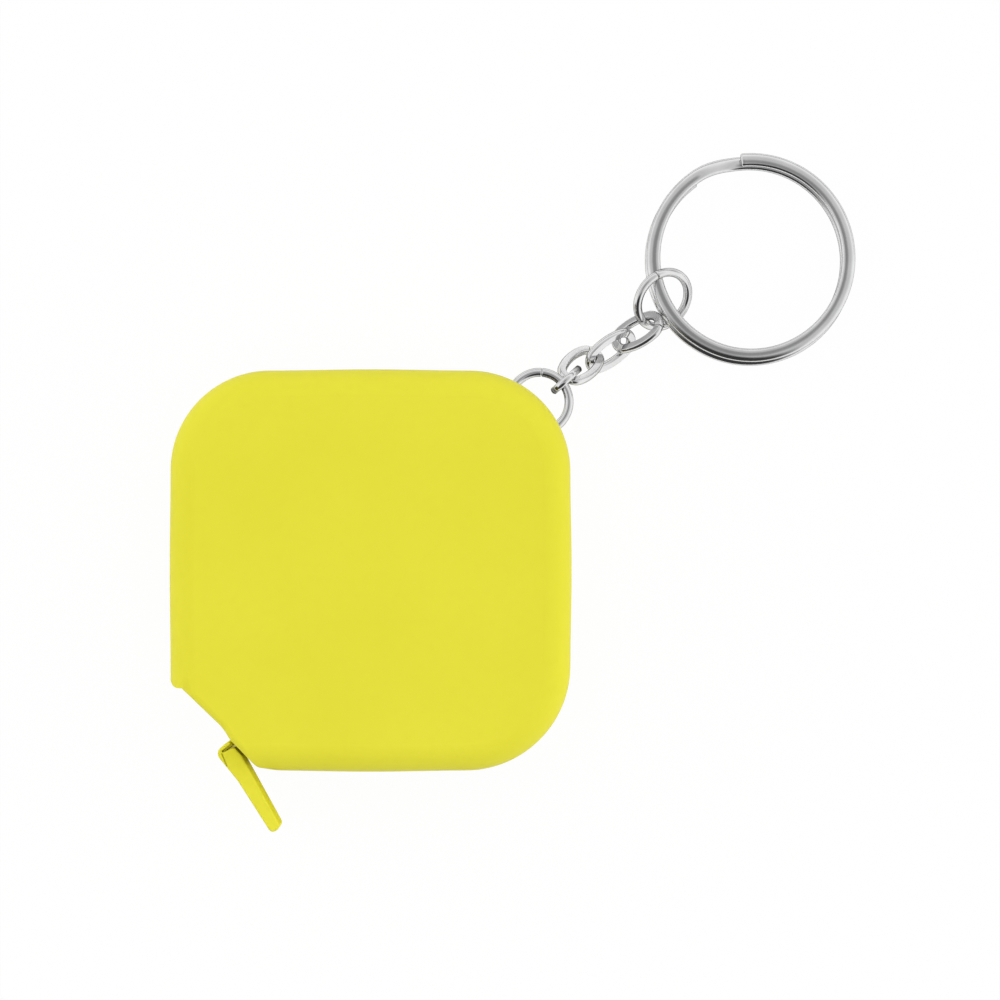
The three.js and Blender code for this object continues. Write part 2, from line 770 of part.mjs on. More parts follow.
// The key ring's band runs through the middle of the jump ring, and its far side lies on the table
const keyMiddle = keyRingRadius - keyBandWidth / 2;
const keyFarHeight = keyBandHeight + keyLayerGap / 2;
const keyGrip = keyJumpCentre.clone().setZ(keyJumpCentre.z - keyRingSag);
const keyTilt = Math.asin((keyGrip.z - keyFarHeight) / (keyMiddle + keyRingRadius));
const keyTurn = turnedBy({ heading: keyRingHeading, slope: keyTilt });
const keyCentre = keyGrip.clone()
  .add(new THREE.Vector3(keyMiddle, 0, 0).applyQuaternion(keyTurn));
placed('key_ring', splitRing(), keyCentre, keyTurn);

export default group;
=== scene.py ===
import math

import bmesh
import bpy
from mathutils import Matrix, Vector


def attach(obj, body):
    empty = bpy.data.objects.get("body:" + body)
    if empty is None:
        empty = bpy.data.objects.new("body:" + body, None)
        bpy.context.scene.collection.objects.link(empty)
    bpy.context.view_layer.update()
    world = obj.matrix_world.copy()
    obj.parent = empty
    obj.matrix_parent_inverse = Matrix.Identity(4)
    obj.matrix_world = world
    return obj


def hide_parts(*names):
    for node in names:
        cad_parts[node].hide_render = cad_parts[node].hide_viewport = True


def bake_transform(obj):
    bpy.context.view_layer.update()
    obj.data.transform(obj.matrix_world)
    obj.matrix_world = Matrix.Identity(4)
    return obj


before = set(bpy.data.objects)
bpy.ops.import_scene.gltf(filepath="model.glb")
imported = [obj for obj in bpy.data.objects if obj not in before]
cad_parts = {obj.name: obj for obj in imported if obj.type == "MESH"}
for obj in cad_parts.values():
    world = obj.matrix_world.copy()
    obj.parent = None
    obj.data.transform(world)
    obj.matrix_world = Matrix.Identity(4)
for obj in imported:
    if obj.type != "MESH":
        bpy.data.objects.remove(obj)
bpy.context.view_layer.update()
scene = bpy.context.scene
mm = 0.001
turn = 2 * math.pi
hair = 1e-7  # m, within which two places count as one
overrun = 3.0  # mm, how far a cut reaches past the face that it opens


# Small helpers


def shadeSmooth(mesh, sharpAngle):
    for face in mesh.polygons:
        face.use_smooth = True
    mesh.set_sharp_from_angle(angle=math.radians(sharpAngle))


def toPiece(name, bm, materials, sharpAngle=35):
    mesh = bpy.data.meshes.new(name)
    bm.to_mesh(mesh)
    bm.free()
    for material in materials:
        mesh.materials.append(material)
    piece = bpy.data.objects.new(name, mesh)
    scene.collection.objects.link(piece)
    shadeSmooth(mesh, sharpAngle)
    return piece


def meshOf(piece):
    bm = bmesh.new()
    bm.from_mesh(piece.data)
    return bm


def putBack(bm, piece):
    bm.to_mesh(piece.data)
    bm.free()


def closeUp(bm, gap=0.0005):
    bmesh.ops.remove_doubles(bm, verts=bm.verts[:], dist=gap * mm)
    bmesh.ops.recalc_face_normals(bm, faces=bm.faces[:])


def vertsOf(geom):
    return [item for item in geom if isinstance(item, bmesh.types.BMVert)]


def bevelCorners(bm, verts, reach, steps):
    bmesh.ops.bevel(
        bm, geom=verts, offset=reach * mm, offset_type="ABSOLUTE", segments=steps, profile=0.5,
        affect="VERTICES", material=-1,
    )


def bevelEdges(bm, edges, width, steps, clamp=False, slide=False):
    bmesh.ops.bevel(
        bm, geom=edges, offset=width * mm, offset_type="OFFSET", segments=steps, profile=0.5,
        affect="EDGES", clamp_overlap=clamp, loop_slide=slide, material=-1,
    )


def bakeModifiers(piece):
    depsgraph = bpy.context.evaluated_depsgraph_get()
    made = bpy.data.meshes.new_from_object(piece.evaluated_get(depsgraph))
    piece.modifiers.clear()
    old = piece.data
    piece.data = made
    bpy.data.meshes.remove(old)


def putInOrder(piece):
    # a boolean's vertices and faces come in an order that changes from run to run, so both are sorted
    mixed = meshOf(piece)
    spots = sorted(mixed.verts, key=lambda vert: tuple(vert.co))
    rank = {vert: number for number, vert in enumerate(spots)}
    loops = []
    for face in mixed.faces:
        corners = [rank[vert] for vert in face.verts]
        first = corners.index(min(corners))
        loops.append((corners[first:] + corners[:first], face.material_index))
    bm = bmesh.new()
    verts = [bm.verts.new(vert.co) for vert in spots]
    for corners, index in sorted(loops):
        bm.faces.new([verts[number] for number in corners]).material_index = index
    mixed.free()
    putBack(bm, piece)


def dropPiece(piece):
    mesh = piece.data
    bpy.data.objects.remove(piece)
    bpy.data.meshes.remove(mesh)


def carve(piece, tool, operation="DIFFERENCE"):
    modifier = piece.modifiers.new("carve", "BOOLEAN")
    modifier.object = tool
    modifier.operation = operation
    modifier.solver = "EXACT"
    bakeModifiers(piece)
    putInOrder(piece)
    dropPiece(tool)


def flatOutline(bm, corners, steps, height=0):
    # corners are (x, y, fillet radius) in mm, counter-clockwise
    points = [Vector((x, y, height)) for x, y, radius in corners]
    verts = [bm.verts.new(point * mm) for point in points]
    bm.faces.new(verts)
    for i, (x, y, radius) in enumerate(corners):
        if radius:
            before = points[i] - points[i - 1]
            after = points[(i + 1) % len(points)] - points[i]
            bevelCorners(bm, [verts[i]], radius * math.tan(before.angle(after) / 2), steps)


def standUp(bm, low, high):
    # gives the flat outline its height
    bmesh.ops.translate(bm, verts=bm.verts[:], vec=(0, 0, low * mm))
    made = bmesh.ops.extrude_face_region(bm, geom=bm.faces[:], use_keep_orig=True)
    bmesh.ops.translate(bm, verts=vertsOf(made["geom"]), vec=(0, 0, (high - low) * mm))
    bmesh.ops.recalc_face_normals(bm, faces=bm.faces[:])


def marked(name, bm, material, index):
    # the index marks a cutter's faces, so that roundRims finds the edges that it leaves
    for face in bm.faces:
        face.material_index = index
    return toPiece(name, bm, [material] * (index + 1))


def block(name, corners, low, high, material, index=0, steps=8):
    bm = bmesh.new()
    flatOutline(bm, corners, steps)
    standUp(bm, low, high)
    return marked(name, bm, material, index)


def post(name, centre, radius, low, high, material, index=0, steps=48):
    bm = bmesh.new()
    bmesh.ops.create_cone(
        bm, cap_ends=True, segments=steps, radius1=radius * mm, radius2=radius * mm,
        depth=(high - low) * mm,
    )
    bmesh.ops.translate(bm, verts=bm.verts[:], vec=(centre[0] * mm, centre[1] * mm, (low + high) / 2 * mm))
    return marked(name, bm, material, index)


def barCorners(start, end, halfWidth):
    along = (Vector(end) - Vector(start)).normalized()
    across = Vector((-along.y, along.x)) * halfWidth
    spots = [Vector(start) - across, Vector(end) - across, Vector(end) + across, Vector(start) + across]
    return [(spot.x, spot.y, 0) for spot in spots]


def roundRims(piece, index, width, steps, sharpest=20, gap=0.002):
    # rounds the sharp edges where faces of the given material index meet the others, then clears the index
    bm = meshOf(piece)
    bmesh.ops.remove_doubles(bm, verts=bm.verts[:], dist=gap * mm)
    bmesh.ops.dissolve_degenerate(bm, dist=gap * mm, edges=bm.edges[:])
    rims = []
    for edge in bm.edges:
        marks = [face.material_index == index for face in edge.link_faces]
        if len(marks) == 2 and any(marks) and not all(marks):
            if edge.calc_face_angle(0) > math.radians(sharpest):
                rims.append(edge)
    bevelEdges(bm, rims, width, steps, clamp=True, slide=True)
    for face in bm.faces:
        if face.material_index == index:
            face.material_index = 0
    bmesh.ops.recalc_face_normals(bm, faces=bm.faces[:])
    putBack(bm, piece)


def fillParting(piece, facing, mostSides=8):
    # closes the flat face where the two halves meet, round its inner openings
    bm = meshOf(piece)
    bmesh.ops.delete(bm, geom=[edge for edge in bm.edges if not edge.link_faces], context="EDGES")
    rims = [edge for edge in bm.edges if len(edge.link_faces) == 1]
    bmesh.ops.triangle_fill(bm, use_beauty=True, edges=rims, normal=(0, 0, facing))
    bmesh.ops.holes_fill(bm, edges=[edge for edge in bm.edges if edge.is_boundary], sides=mostSides)
    bmesh.ops.recalc_face_normals(bm, faces=bm.faces[:])
    putBack(bm, piece)


def finishPiece(piece, material, body, nodes=(), sharpAngle=35, weighted=False, evenWeight=80):
    piece.data.materials.clear()
    piece.data.materials.append(material)
    for face in piece.data.polygons:
        face.material_index = 0
    shadeSmooth(piece.data, sharpAngle)
    if weighted:
        even = piece.modifiers.new("even shading", "WEIGHTED_NORMAL")
        even.keep_sharp = True
        even.weight = evenWeight
    if body:
        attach(piece, body)
    if nodes:
        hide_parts(*nodes)


# Materials: noise seldom reaches 0 or 1, so each pattern takes the middle of its range

cloudRange = (0.35, 0.65)
speckRange = (0.45, 0.75)
grainRange = (0.3, 0.7)
markRange = (0.35, 0.7)
noiseDetail = {
    "cloud": 3.0, "speck": 2.0, "mouldGrain": 4.0, "plateGrain": 5.0, "scratch": 2.0,
    "marks": 4.0, "tapeGrain": 2.0,
}


def nodeMaker(tree):
    tree.nodes.clear()

    def make(kind, settings=None, inputs=None):
        node = tree.nodes.new("ShaderNode" + kind)
        for key, value in (settings or {}).items():
            setattr(node, key, value)
        for key, value in (inputs or {}).items():
            if isinstance(value, bpy.types.NodeSocket):
                tree.links.new(value, node.inputs[key])
            else:
                node.inputs[key].default_value = value
        return node

    return make


def newMaterial(name):
    material = bpy.data.materials.new(name)
    material.use_nodes = True
    return material, nodeMaker(material.node_tree)


def mixColours(make, factor, one, two):
    # the three sockets are the colour mix's own factor and its two colours
    mix = make("Mix", {"data_type": "RGBA"}, {0: factor, 6: one, 7: two})
    return mix.outputs[2]


def noise(make, vector, scale, kind):
    inputs = {"Vector": vector, "Scale": scale, "Detail": noiseDetail[kind]}
    return make("TexNoise", inputs=inputs).outputs["Fac"]


def mathNode(make, operation, one, two=0.0, three=0.0):
    return make("Math", {"operation": operation}, {0: one, 1: two, 2: three}).outputs["Value"]


def spread(make, value, low, high, fromLow=0.0, fromHigh=1.0, interpolation="LINEAR"):
    node = make("MapRange", {"interpolation_type": interpolation}, {
        "Value": value, "From Min": fromLow, "From Max": fromHigh, "To Min": low, "To Max": high,
    })
    return node.outputs["Result"]


def roughBump(make, height, strength, depth):
    bump = make("Bump", inputs={"Strength": strength, "Distance": depth, "Height": height})
    return bump.outputs["Normal"]


def mouldedPlastic(name, look):
    material, make = newMaterial(name)
    coords = make("TexCoord").outputs["Object"]
    cloud = noise(make, coords, look["cloudScale"], "cloud")
    speck = noise(make, coords, look["speckScale"], "speck")
    grain = noise(make, coords, look["grainScale"], "mouldGrain")
    broad = mixColours(make, spread(make, cloud, 0, 1, *cloudRange), look["deep"], look["light"])
    specks = spread(make, speck, 0, look["speckAmount"], *speckRange)
    shader = make("BsdfPrincipled", inputs={
        "Base Color": mixColours(make, specks, broad, look["speck"]),
        "Roughness": spread(make, grain, look["smooth"], look["rough"], *grainRange),
        "Specular IOR Level": look["gloss"],
        "Specular Tint": look["glossTint"],
        "Normal": roughBump(make, grain, look["grainStrength"], look["grainDepth"]),
    })
    make("OutputMaterial", inputs={"Surface": shader.outputs["BSDF"]})
    return material


def platedMetal(name, look):
    material, make = newMaterial(name)
    coords = make("TexCoord").outputs["Object"]
    cloud = noise(make, coords, look["cloudScale"], "cloud")
    grain = noise(make, coords, look["grainScale"], "plateGrain")
    scratchSpace = make("Mapping", inputs={"Vector": coords, "Scale": look["scratchStretch"]})
    scratch = noise(make, scratchSpace.outputs["Vector"], look["scratchScale"], "scratch")
    plate = mixColours(make, spread(make, cloud, 0, 1, *cloudRange), look["deep"], look["light"])
    # the cut mark brings in the near-black colour: unplated steel at wire ends, painted darker there as
    # shade, and painted shade on the screw drive's floor
    cut = make("Attribute", {"attribute_name": "cut"}).outputs["Fac"]
    wear = mathNode(make, "MULTIPLY_ADD", scratch, look["scratchShare"], grain)
    shader = make("BsdfPrincipled", inputs={
        "Base Color": mixColours(make, cut, plate, look["bare"]),
        "Metallic": 1.0,
        "Roughness": spread(make, grain, look["smooth"], look["rough"], *grainRange),
        "Specular Tint": look["edgeTint"],
        "Normal": roughBump(make, wear, look["wearStrength"], look["wearDepth"]),
    })
    make("OutputMaterial", inputs={"Surface": shader.outputs["BSDF"]})
    return material


def coatedTape(name, look, ink=None):
    # the yellow strip with faint handling marks, and its print where there is any
    material, make = newMaterial(name)
    coords = make("TexCoord").outputs["Object"]
    marks = noise(make, coords, look["markScale"], "marks")
    colour = mixColours(make, spread(make, marks, 0, 1, *markRange), look["fresh"], look["worn"])
    if ink:
        colour = mixColours(make, ink(make), colour, look["ink"])
    shader = make("BsdfPrincipled", inputs={
        "Base Color": colour, "Roughness": spread(make, marks, look["smooth"], look["rough"]),
    })
    if "grainScale" in look:
        grain = noise(make, coords, look["grainScale"], "tapeGrain")
        bump = roughBump(make, grain, look["grainStrength"], look["grainDepth"])
        material.node_tree.links.new(bump, shader.inputs["Normal"])
    make("OutputMaterial", inputs={"Surface": shader.outputs["BSDF"]})
    return material


casePlastic = mouldedPlastic("case plastic", {
    "deep": (0.748, 0.702, 0.046, 1), "light": (0.768, 0.721, 0.050, 1), "speck": (0.712, 0.667, 0.041, 1),
    "cloudScale": 60, "speckScale": 900, "speckAmount": 0.25,
    "grainScale": 4200, "grainStrength": 0.12, "grainDepth": 0.00002,
    "smooth": 0.42, "rough": 0.52, "gloss": 0.12, "glossTint": (1.0, 0.95, 0.2, 1),
})
tabPlastic = mouldedPlastic("tab plastic", {
    "deep": (0.755, 0.708, 0.048, 1), "light": (0.80, 0.752, 0.056, 1), "speck": (0.70, 0.655, 0.040, 1),
    "cloudScale": 240, "speckScale": 1500, "speckAmount": 0.3,
    "grainScale": 4200, "grainStrength": 0.15, "grainDepth": 0.00002,
    "smooth": 0.42, "rough": 0.52, "gloss": 0.0, "glossTint": (1.0, 0.95, 0.2, 1),
})
drumPlastic = mouldedPlastic("drum plastic", {
    "deep": (0.74, 0.73, 0.69, 1), "light": (0.80, 0.79, 0.75, 1), "speck": (0.70, 0.69, 0.66, 1),
    "cloudScale": 120, "speckScale": 900, "speckAmount": 0.2,
    "grainScale": 3000, "grainStrength": 0.1, "grainDepth": 0.00002,
    "smooth": 0.42, "rough": 0.52, "gloss": 0.4, "glossTint": (1, 1, 1, 1),
})
nickel = platedMetal("nickel plate", {
    # the near-black colour for marked places is partly unplated cut steel and partly painted shade, at wire
    # ends and on screw drive floors
    "deep": (0.80, 0.80, 0.805, 1), "light": (0.88, 0.88, 0.885, 1), "bare": (0.03, 0.03, 0.03, 1),
    "cloudScale": 350, "grainScale": 5200,
    "scratchScale": 1400, "scratchStretch": (1.0, 6.0, 2.0), "scratchShare": 0.5,
    "wearStrength": 0.25, "wearDepth": 0.000006,
    # the dark edge tint is painted shade: it darkens the wires' grazing rims into grey outlines
    "smooth": 0.09, "rough": 0.16, "edgeTint": (0.1, 0.1, 0.1, 1),
})
springSteel = platedMetal("spring steel", {
    "deep": (0.36, 0.37, 0.39, 1), "light": (0.46, 0.47, 0.49, 1), "bare": (0.3, 0.3, 0.3, 1),
    "cloudScale": 300, "grainScale": 4000,
    "scratchScale": 1600, "scratchStretch": (1.0, 1.0, 0.1), "scratchShare": 0.5,
    "wearStrength": 0.3, "wearDepth": 0.00001,
    "smooth": 0.2, "rough": 0.3, "edgeTint": (0.8, 0.8, 0.8, 1),
})
woundTape = coatedTape("wound tape", {
    "fresh": (0.86, 0.77, 0.15, 1), "worn": (0.78, 0.70, 0.12, 1), "markScale": 700,
    "grainScale": 5000, "grainStrength": 0.1, "grainDepth": 0.00001, "smooth": 0.3, "rough": 0.42,
})
print("materials ready")


# Case, with its places in mm

case = {
    "side": 47.0, "depth": 18.0, "edge": 3.2, "edgeSteps": 10, "wall": 2.0,
    "corners": (12.3, 11.9, 11.7), "cornerSteps": 28,  # lower right, upper right, upper left
    "bow": 0.14, "leftBow": 0.1, "bowCuts": 15, "longSide": 4.0,
    # the tape's corner: two bends of the lip, the ramp, and the jaw, with their fillet radii
    "lip": ((-23.55, -13.0, 1.5), (-22.95, -13.8, 0.9)), "rampTop": (-22.11, -13.8),
    "rampEnd": (-17.28, -18.44, 5.0), "jawTop": (-16.46, -19.8, 2.2), "jawEnd": (-13.3, -23.07, 1.1),
    "jawFoot": (-10.7, -23.5, 9.0), "footReach": 1.0, "outside": -26.5,
    "cutEdge": 0.8, "cutEdgeSteps": 8, "cutSteps": 10,
    # the wall behind that corner, and the block that guides the tape to the mouth
    "innerCut": (
        (-30, -30, 0), (-8.4, -30, 0), (-8.4, -21.5, 0), (-12.1, -21.5, 2.0),
        (-14.75, -18.95, 0), (-16.7, -16.2, 0), (-22.0, -11.2, 0), (-30, -11.2, 0),
    ),
    "jawGuide": (
        (-15.6, -19.3, 0), (-15.6, -23.5, 0), (-6.2, -23.5, 0), (-6.2, -18.95, 0), (-13.5, -19.5, 0),
    ),
    "mouth": (-15.7844, -20.5061), "exitHeading": 216.9, "mouthIn": 2.6, "mouthOut": 3.0,
    "mouthLow": 3.6, "mouthHigh": 14.4, "mouthHalf": 0.55,
    "ringPost": (18.8216, 18.8216), "pinRadius": 1.2, "pinFoot": 2.0, "pinRise": 0.8, "pinSocketRise": 1.1,
    "slotRadius": 5.82, "slotHeight": 2.2, "slotWall": 1.0, "slotSteps": 96,
    "spoolPost": 2.0, "spoolPostLow": 1.0, "spoolPostHigh": 16.5, "socketGap": 0.15,
    "postSocketLow": 3.0, "postSocketHigh": 16.8,
    "screws": ((-16.6862, 16.6862), (16.6862, -16.6862)), "headHole": 1.85, "headFloor": 1.25,
    "shankHole": 0.95, "shankFloor": 13.3, "boss": 2.75, "bossFoot": 1.0,
    "parting": 0.05, "halfReach": 40.0, "halfRise": 5.0,
    # material index, width and steps of the rounding that each cut's rim gets
    "rims": {"parting": (5, 0.14, 3), "mouth": (2, 0.12, 2), "slot": (3, 0.2, 3), "head": (4, 0.15, 2)},
}
exitAngle = math.radians(case["exitHeading"])
exitWay = Vector((math.cos(exitAngle), math.sin(exitAngle)))
exitSide = Vector((exitWay.y, -exitWay.x))


def pillow(name, inset, bow, leastRadius=0.05):
    # a rounded square block with soft rims and slightly bowed sides; its plain fourth corner is cut off later
    half = case["side"] / 2 - inset
    lowerRight, upperRight, upperLeft = (radius - inset for radius in case["corners"])
    edge = case["edge"] - inset
    straight = half - lowerRight
    bm = bmesh.new()
    flatOutline(bm, [
        (half, -half, lowerRight), (half, half, upperRight), (-half, half, upperLeft),
        (-half, -half, edge + leastRadius),
    ], case["cornerSteps"])
    sides = [e for e in bm.edges if e.calc_length() > case["longSide"] * mm]
    bmesh.ops.subdivide_edges(bm, edges=sides, cuts=case["bowCuts"])
    for vert in bm.verts:
        for axis, other in ((0, 1), (1, 0)):
            if abs(abs(vert.co[axis]) - half * mm) < hair and abs(vert.co[other]) < straight * mm:
                share = vert.co[other] / (straight * mm)
                rise = case["leftBow"] if bow and axis == 0 and vert.co.x < 0 else bow
                vert.co[axis] += math.copysign(rise * mm, vert.co[axis]) * (1 - share * share) ** 2
    standUp(bm, inset, case["depth"] - inset)
    rims = [e for e in bm.edges if abs(e.verts[0].co.z - e.verts[1].co.z) < hair]
    bevelEdges(bm, rims, edge, case["edgeSteps"])
    closeUp(bm)
    lastIndex = max(index for index, width, steps in case["rims"].values())
    return toPiece(name, bm, [casePlastic] * (lastIndex + 1))


def grown(corners, by):
    # the outline moved outward all round, its fillets with it
    points = [Vector((x, y)) for x, y, radius in corners]
    result = []
    for i, (x, y, radius) in enumerate(corners):
        before = (points[i] - points[i - 1]).normalized()
        after = (points[(i + 1) % len(points)] - points[i]).normalized()
        out = Vector((before.y + after.y, -before.x - after.x)) * by / (1 + before.dot(after))
        bend = 1 if before.x * after.y > before.y * after.x else -1
        result.append((x + out.x, y + out.y, radius + bend * by if radius else 0))
    return result


def cornerCut():
    # takes the tape's corner off the case: lip, ramp, step and jaw, flared where it meets the two faces
    foot, (lipSide, lipLow), outside = case["jawFoot"], case["lip"], case["outside"]
    footEnd = foot[0] + case["footReach"]
    lipTop = lipSide[1] + overrun
    corners = [
        (outside, outside, 0), (footEnd, outside, 0), (footEnd, foot[1], 0), foot, case["jawEnd"],
        case["jawTop"], case["rampEnd"], (*case["rampTop"], 0), lipLow, lipSide, (lipSide[0], lipTop, 0),
        (outside, lipTop, 0),
    ]
    flare, steps, depth = case["cutEdge"], case["cutEdgeSteps"], case["depth"]
    turns = [math.radians(90 * step / steps) for step in range(steps + 1)]
    levels = [(flare, -overrun)] + [(flare * (1 - math.sin(a)), flare * (1 - math.cos(a))) for a in turns]
    levels += [(by, depth - z) for by, z in reversed(levels)]
    bm = bmesh.new()
    rims = []
    for by, z in levels:
        known = set(bm.edges)
        flatOutline(bm, grown(corners, by), case["cutSteps"], z)
        rims.append([edge for edge in bm.edges if edge not in known])
    bmesh.ops.delete(bm, geom=bm.faces[1:-1], context="FACES_ONLY")
    for lower, upper in zip(rims, rims[1:]):
        bmesh.ops.bridge_loops(bm, edges=lower + upper)
    bmesh.ops.recalc_face_normals(bm, faces=bm.faces[:])
    return marked("corner cut", bm, casePlastic, 0)


def makeHollow():
    # the room inside, less all that stands in it
    foot, top = case["bossFoot"], case["depth"] - case["bossFoot"]
    hollow = pillow("hollow", case["wall"], 0)
    carve(hollow, block("inner cut", case["innerCut"], -overrun, case["depth"] + overrun, casePlastic))
    for spot in case["screws"]:
        carve(hollow, post("boss", spot, case["boss"], foot, top, casePlastic))
    slotBoss = case["slotRadius"] + case["slotWall"]
    carve(hollow, post("slot boss", case["ringPost"], slotBoss, foot, top, casePlastic))
    carve(hollow, block("jaw guide", case["jawGuide"], foot, top, casePlastic))
    return hollow


def makeCase():
    depth, middle, slot = case["depth"], case["depth"] / 2, case["slotHeight"] / 2
    mouth, ringPost, rims = Vector(case["mouth"]), case["ringPost"], case["rims"]
    shell = pillow("case", 0, case["bow"])
    carve(shell, cornerCut())
    carve(shell, makeHollow())
    mouthStart, mouthEnd = mouth - exitWay * case["mouthIn"], mouth + exitWay * case["mouthOut"]
    carve(shell, block(
        "mouth", barCorners(mouthStart, mouthEnd, case["mouthHalf"]), case["mouthLow"], case["mouthHigh"],
        casePlastic, rims["mouth"][0],
    ))
    carve(shell, post(
        "ring slot", ringPost, case["slotRadius"], middle - slot, middle + slot, casePlastic, rims["slot"][0],
        case["slotSteps"],
    ))
    for spot in case["screws"]:
        carve(shell, post(
            "head hole", spot, case["headHole"], -overrun, case["headFloor"], casePlastic, rims["head"][0],
        ))
        carve(shell, post("shank hole", spot, case["shankHole"], -overrun, case["shankFloor"], casePlastic))

    halves = []
    reach, rise, gap = case["halfReach"], case["halfRise"], case["parting"] / 2
    square = [(-reach, -reach, 0), (reach, -reach, 0), (reach, reach, 0), (-reach, reach, 0)]
    for name, low, high in (("caseBack", middle - gap, depth + rise), ("caseFront", -rise, middle + gap)):
        half = shell.copy()
        half.data = shell.data.copy()
        half.name = name
        scene.collection.objects.link(half)
        carve(half, block("other half", square, low, high, casePlastic, rims["parting"][0]))
        halves.append(half)
    dropPiece(shell)

    back, front = halves
    pin, pinTop, play = case["pinRadius"], middle + slot, case["socketGap"]
    carve(back, post("pin", ringPost, pin, case["pinFoot"], pinTop + case["pinRise"], casePlastic), "UNION")
    carve(back, post(
        "spool post", (0, 0), case["spoolPost"], case["spoolPostLow"], case["spoolPostHigh"], casePlastic,
    ), "UNION")
    carve(front, post(
        "pin socket", ringPost, pin + play, middle - overrun, pinTop + case["pinSocketRise"], casePlastic,
    ))
    carve(front, post(
        "post socket", (0, 0), case["spoolPost"] + play, case["postSocketLow"], case["postSocketHigh"],
        casePlastic,
    ))
    for half in halves:
        for index, width, steps in rims.values():
            roundRims(half, index, width, steps)
    fillParting(back, 1)
    fillParting(front, -1)
    finishPiece(back, casePlastic, "case", ["case_back"], weighted=True)
    finishPiece(front, casePlastic, "case", ["case_front"], weighted=True)
    for half in halves:
        half.visible_glossy = False  # the photograph's chain shows none of the case's yellow
    print("case made:", len(back.data.polygons), len(front.data.polygons))


makeCase()


# Case screws

screw = {
    "head": 1.6, "headSteps": 40, "recess": 0.35, "height": 0.9, "crown": 0.42, "crownSteps": 5,
    "shank": 0.7, "shankSteps": 24, "tip": 13.25, "overlap": 0.1, "sharpAngle": 40,
    "drive": 0.52, "driveReach": 0.9, "driveDepth": 0.45, "driveRise": 1.0,
    "driveTurn": 0.3, "driveShade": 0.6,
}


def makeScrew(name, spot, node):
    low = screw["recess"]
    under, floor = low + screw["height"], low + screw["driveDepth"]
    shape = post(name, spot, screw["head"], low, under, nickel, steps=screw["headSteps"])
    bm = meshOf(shape)
    crown = [e for e in bm.edges if all(abs(v.co.z - low * mm) < hair for v in e.verts)]
    bevelEdges(bm, crown, screw["crown"], screw["crownSteps"])
    putBack(bm, shape)
    for angle in (screw["driveTurn"], screw["driveTurn"] + turn / 4):
        way = Vector((math.cos(angle), math.sin(angle))) * screw["driveReach"]
        bar = barCorners(Vector(spot) - way, Vector(spot) + way, screw["drive"] / 2)
        carve(shape, block("drive", bar, low - screw["driveRise"], floor, nickel))
    carve(shape, post(
        "shank", spot, screw["shank"], under - screw["overlap"], screw["tip"], nickel,
        steps=screw["shankSteps"],
    ), "UNION")
    # the drive recess's floor is painted dark as shade, through the same mark that the wire ends use
    shade = shape.data.attributes.new("cut", "FLOAT", "POINT")
    for vert, mark in zip(shape.data.vertices, shade.data):
        if abs(vert.co.z - floor * mm) < hair:
            mark.value = screw["driveShade"]
    finishPiece(shape, nickel, "case", [node], screw["sharpAngle"])


for number, spot in enumerate(case["screws"], 1):
    makeScrew(f"caseScrew{number}", spot, f"case_screw_{number}")
print("screws made")


# Pull tab

tab = {
    "outline": [
        (-16.6546, -20.0966, 0), (-18.334, -21.3575, 0.9), (-15.578, -24.749, 4.0),
        (-11.64, -30.93, 0.62), (-10.5, -30.2, 0.62), (-15.12, -21.78, 0.3),
    ],
    "pocket": [
        (-17.4, -21.42, 0), (-16.35, -20.93, 0.3), (-15.6, -20.85, 0), (-16.2, -20.2, 0), (-17.52, -21.19, 0),
    ],
    "groove": ((-17.48, -21.5), (-16.86, -23.0), 0.075), "pocketFloor": 14.0, "grooveFloor": 14.68,
    "low": 3.0, "high": 15.0, "arcSteps": 12, "edge": 0.26, "edgeSteps": 4, "edgeSharpest": 50,
    "slotHalf": 0.2, "slotLow": 3.9, "slotHigh": 14.1, "slotIn": 0.5, "slotReach": 1.5,
    "rim": 0.05, "rimSteps": 2, "rimIndex": 1,
}


def makeTab():
    mouth = Vector(case["mouth"])
    shape = block("pullTab", tab["outline"], tab["low"], tab["high"], tabPlastic, steps=tab["arcSteps"])
    bm = meshOf(shape)
    rims = [e for e in bm.edges if e.calc_face_angle(0) > math.radians(tab["edgeSharpest"])]
    bevelEdges(bm, rims, tab["edge"], tab["edgeSteps"], clamp=True)
    bmesh.ops.recalc_face_normals(bm, faces=bm.faces[:])
    putBack(bm, shape)
    top = tab["high"] + overrun
    slot = barCorners(mouth - exitWay * tab["slotIn"], mouth + exitWay * tab["slotReach"], tab["slotHalf"])
    for name, corners, low, high in (
        ("tape slot", slot, tab["slotLow"], tab["slotHigh"]),
        ("pocket", tab["pocket"], tab["pocketFloor"], top),
        ("groove", barCorners(*tab["groove"]), tab["grooveFloor"], top),
    ):
        carve(shape, block(name, corners, low, high, tabPlastic, tab["rimIndex"]))
    roundRims(shape, tab["rimIndex"], tab["rim"], tab["rimSteps"])
    finishPiece(shape, tabPlastic, "tab", ["pull_tab"], weighted=True)
    print("tab made:", len(shape.data.polygons))


makeTab()


# Rings, links and split key ring

